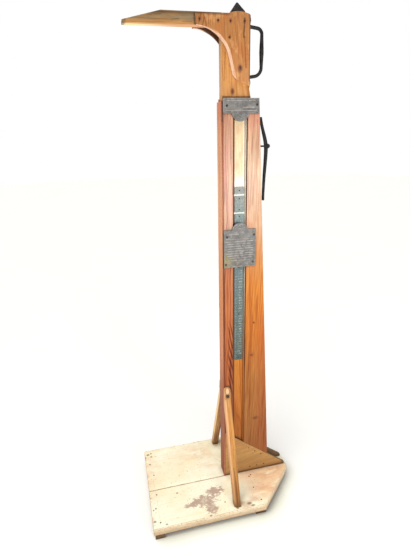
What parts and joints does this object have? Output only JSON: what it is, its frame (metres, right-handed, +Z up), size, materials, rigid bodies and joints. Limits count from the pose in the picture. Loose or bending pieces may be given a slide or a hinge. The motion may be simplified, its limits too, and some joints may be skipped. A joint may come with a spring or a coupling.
{
  "type": "anthropometer",
  "caption": "Standing height gauge: a low platform and braced hollow column with a sliding mast that carries a head arm, curved brackets, a hand grip and a scale read through a long slot.",
  "frame": {"origin": "on the floor, at the middle of the rear batten's underside, under the column", "axes": "+Z up along the column and mast, -X towards the standing person and the arm's tip, +X the back with the hand grip and lock lever, -Y the side with the reading slot"},
  "size_m": [0.571, 0.38, 1.7065],
  "materials": {
    "deck_wood": "worn pale paint",
    "batten_wood": "raw, darkened",
    "front_wood": "worn red-brown varnish",
    "stile_wood": "glossy varnish",
    "column_wood": "glossy varnish",
    "brace_wood": "satin varnish",
    "gusset_wood": "satin varnish",
    "mast_wood": "satin varnish",
    "arm_wood": "worn, grey-brown",
    "bracket_wood": "satin varnish",
    "black_iron": "blackened, satin",
    "nail_iron": "dull",
    "plate_metal": "dull cast relief",
    "screw_steel": "dull",
    "scale_enamel": "faded satin"
  },
  "bodies": {
    "stand": {"near_plank": "deck_wood", "far_plank": "deck_wood", "front_batten": "batten_wood", "rear_batten": "batten_wood", "platform_nails": "nail_iron", "front_board": "front_wood", "near_front_stile": "stile_wood", "near_back_stile": "column_wood", "far_side_board": "column_wood", "spine": "column_wood", "foot_block": "column_wood", "near_gusset": "gusset_wood", "far_gusset": "gusset_wood", "gusset_nails": "nail_iron", "near_brace": "brace_wood", "far_brace": "brace_wood", "brace_screws": "nail_iron", "upper_plate": "plate_metal", "lower_plate": "plate_metal", "upper_plate_screws": "screw_steel", "lower_plate_screws": "screw_steel", "lever_bracket": "black_iron", "lever_pin": "black_iron"},
    "lever": {"lock_lever": "black_iron"},
    "slider": {"mast": "mast_wood", "arm": "arm_wood", "near_cheek": "bracket_wood", "far_cheek": "bracket_wood", "cheek_nails": "nail_iron", "handle": "black_iron", "handle_nails": "black_iron", "cap": "black_iron", "scale_top": "scale_enamel", "scale_middle": "scale_enamel", "scale_main": "scale_enamel", "scale_tacks": "screw_steel"}
  },
  "joints": [
    {"name": "mast_slide", "type": "slide", "parent": "stand", "child": "slider", "axis": [0, 0, 1], "range_m": [-0.0305, 0.45]},
    {"name": "lever_pivot", "type": "hinge", "parent": "stand", "child": "lever", "pos_m": [0.05606, 0, 1.323], "axis": [0, 1, 0], "range_deg": [0, 3.3]}
  ]
}
